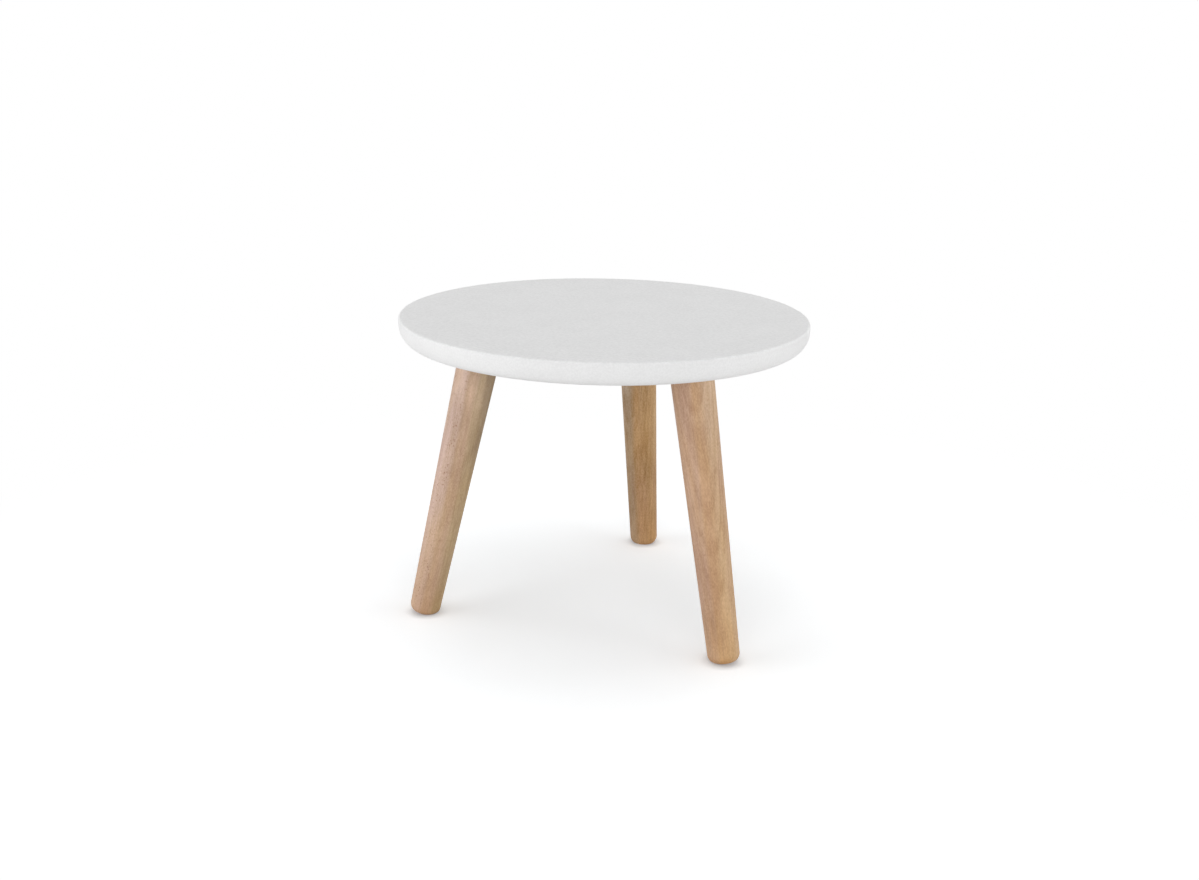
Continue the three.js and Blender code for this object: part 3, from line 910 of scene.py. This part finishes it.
floorFinish = dict(size=40, drop=0.0001, bounce=(224, 224, 224), roughness=0.9,
                   matte=(0.975, 0.995, 1.01, 1), glow=0.298,
                   nearRadius=0.4, farRadius=1.0, contact=0.012, contactShade=(0.5, 0.51, 0.53, 1),
                   contactLean=(-0.191, 0.614, 0.766), underFoot=0.0125)
worldLevel = 0.22
lampAim = Vector((0, 0, 0.3))
softboxes = {  # azimuth from the camera's side, in degrees; size is width and height
    "leftSoftbox": dict(azimuth=-80, elevation=8, distance=2.5, size=(2.4, 1.3), power=27.3),
    "frontSoftbox": dict(azimuth=0, elevation=8, distance=2.5, size=(2.4, 1.3), power=25.6),
    "rightSoftbox": dict(azimuth=80, elevation=8, distance=2.5, size=(2.4, 1.3), power=20.1),
    "backLeftSoftbox": dict(azimuth=-125, elevation=20, distance=2.5, size=(2.4, 1.3), power=2.2),
    "backRightSoftbox": dict(azimuth=125, elevation=20, distance=2.5, size=(2.4, 1.3), power=7.3),
    "overheadSoftbox": dict(azimuth=0, elevation=90, distance=2.2, size=(2, 2), power=17.3),
    "overheadBackSoftbox": dict(azimuth=180, elevation=76, distance=2.3, size=(1.6, 1.6), power=5.8),
}
cameraView = dict(lens=39.078, sensor=36, distance=1.57074, height=0.70393, azimuth=17.321,
                  heading=19.516, pitch=17.210, roll=0.711, shift=0.03904, farEnd=100)


def seenDirectly(tree):
    # 1 for what the camera sees, also in a gloss or through glass
    path = addNode(tree, 'ShaderNodeLightPath')
    seen = calculate(tree, 'MAXIMUM', path.outputs["Is Camera Ray"], path.outputs["Is Glossy Ray"])
    return calculate(tree, 'MAXIMUM', seen, path.outputs["Is Transmission Ray"])


def mixShaders(tree, factor, first, second):
    node = addNode(tree, 'ShaderNodeMixShader')
    plug(tree, node.inputs["Fac"], factor)
    plug(tree, node.inputs[1], first)
    plug(tree, node.inputs[2], second)
    return node.outputs[0]


def makeFloor():
    bpy.ops.object.select_all(action='DESELECT')
    bpy.ops.mesh.primitive_plane_add(size=floorFinish["size"], location=(0, 0, -floorFinish["drop"]))
    floor = bpy.context.object
    floor.name = "studioFloor"
    material, tree, shader = newMaterial("paleFloor")
    shader.inputs["Base Color"].default_value = shade(*floorFinish["bounce"])
    shader.inputs["Roughness"].default_value = floorFinish["roughness"]
    shader.inputs["Specular IOR Level"].default_value = 0

    # what the camera sees: the shadow near the table, and white further off
    place = addNode(tree, 'ShaderNodeTexCoord').outputs["Object"]
    contact = addNode(tree, 'ShaderNodeAmbientOcclusion')
    contact.inputs["Distance"].default_value = floorFinish["contact"]
    towards = addNode(tree, 'ShaderNodeCombineXYZ')  # darkest in front of a foot, away from the light
    for axis, value in zip("XYZ", floorFinish["contactLean"]):
        towards.inputs[axis].default_value = value
    plug(tree, contact.inputs["Normal"], towards.outputs[0])
    darkness = mixColours(tree, contact.outputs["AO"], floorFinish["contactShade"], (1, 1, 1, 1))
    matte = addNode(tree, 'ShaderNodeBsdfDiffuse')
    plug(tree, matte.inputs["Color"], mixColours(tree, 1, floorFinish["matte"], darkness, 'MULTIPLY'))
    glow = addNode(tree, 'ShaderNodeEmission')
    plug(tree, glow.inputs["Color"], darkness)
    glow.inputs["Strength"].default_value = floorFinish["glow"]
    near = addNode(tree, 'ShaderNodeAddShader')
    plug(tree, near.inputs[0], matte.outputs[0])
    plug(tree, near.inputs[1], glow.outputs[0])
    far = remap(tree, calculateVector(tree, 'DISTANCE', place, (0, 0, 0)),
                floorFinish["nearRadius"], floorFinish["farRadius"], kind='SMOOTHSTEP')
    shown = mixShaders(tree, far, near.outputs[0], addNode(tree, 'ShaderNodeEmission').outputs[0])
    surface = mixShaders(tree, seenDirectly(tree), shader.outputs[0], shown)

    # nothing from below, and open under each foot, so that its sawn end isn't black from there
    clear = addNode(tree, 'ShaderNodeNewGeometry').outputs["Backfacing"]
    for mount in frame["record"]["mounts"]:
        if mount["name"].startswith("foot"):
            fromFoot = calculateVector(tree, 'DISTANCE', place, mount["pos_m"])
            under = calculate(tree, 'LESS_THAN', fromFoot, floorFinish["underFoot"])
            clear = calculate(tree, 'MAXIMUM', clear, under)
    surface = mixShaders(tree, clear, surface, addNode(tree, 'ShaderNodeBsdfTransparent').outputs[0])
    plug(tree, tree.nodes["Material Output"].inputs["Surface"], surface)
    floor.data.materials.append(material)


def makeWorld():
    world = bpy.data.worlds.new("studio")
    bpy.context.scene.world = world
    world.use_nodes = True
    tree = world.node_tree
    room = tree.nodes["Background"]
    room.inputs["Color"].default_value = (1, 1, 1, 1)
    room.inputs["Strength"].default_value = worldLevel
    white = addNode(tree, 'ShaderNodeBackground')
    white.inputs["Color"].default_value = (1, 1, 1, 1)
    surface = mixShaders(tree, seenDirectly(tree), room.outputs[0], white.outputs[0])
    plug(tree, tree.nodes["World Output"].inputs["Surface"], surface)


def makeLight(name, box):
    turn = radians(cameraView["azimuth"] - 90 + box["azimuth"])
    rise = radians(box["elevation"])
    direction = Vector((cos(rise) * cos(turn), cos(rise) * sin(turn), sin(rise)))
    place = lampAim + box["distance"] * direction
    bpy.ops.object.select_all(action='DESELECT')
    bpy.ops.object.light_add(type='AREA', location=place)
    lamp = bpy.context.object
    lamp.name = name
    lamp.data.shape = 'RECTANGLE'
    lamp.data.size, lamp.data.size_y = box["size"]
    lamp.data.energy = box["power"]
    lamp.rotation_mode = 'QUATERNION'
    lamp.rotation_quaternion = (lampAim - place).to_track_quat('-Z', 'Y')
    lamp.visible_camera = False


def makeCamera():
    bpy.ops.object.select_all(action='DESELECT')
    turn = radians(cameraView["azimuth"])
    distance = cameraView["distance"]
    bpy.ops.object.camera_add(location=(distance * sin(turn), -distance * cos(turn), cameraView["height"]))
    camera = bpy.context.object
    camera.name = "photoView"
    camera.rotation_mode = 'QUATERNION'
    facing = Matrix.Rotation(radians(cameraView["heading"]), 4, 'Z')
    facing = facing @ Matrix.Rotation(radians(90 - cameraView["pitch"]), 4, 'X')
    facing = facing @ Matrix.Rotation(radians(cameraView["roll"]), 4, 'Z')
    camera.rotation_quaternion = facing.to_quaternion()
    camera.data.sensor_width = cameraView["sensor"]
    camera.data.lens = cameraView["lens"]
    camera.data.shift_x = cameraView["shift"]
    camera.data.clip_end = cameraView["farEnd"]
    bpy.context.scene.camera = camera


makeFloor()
makeWorld()
for name, box in softboxes.items():
    makeLight(name, box)
makeCamera()
bpy.context.scene.view_settings.view_transform = 'Standard'
print("studio done")
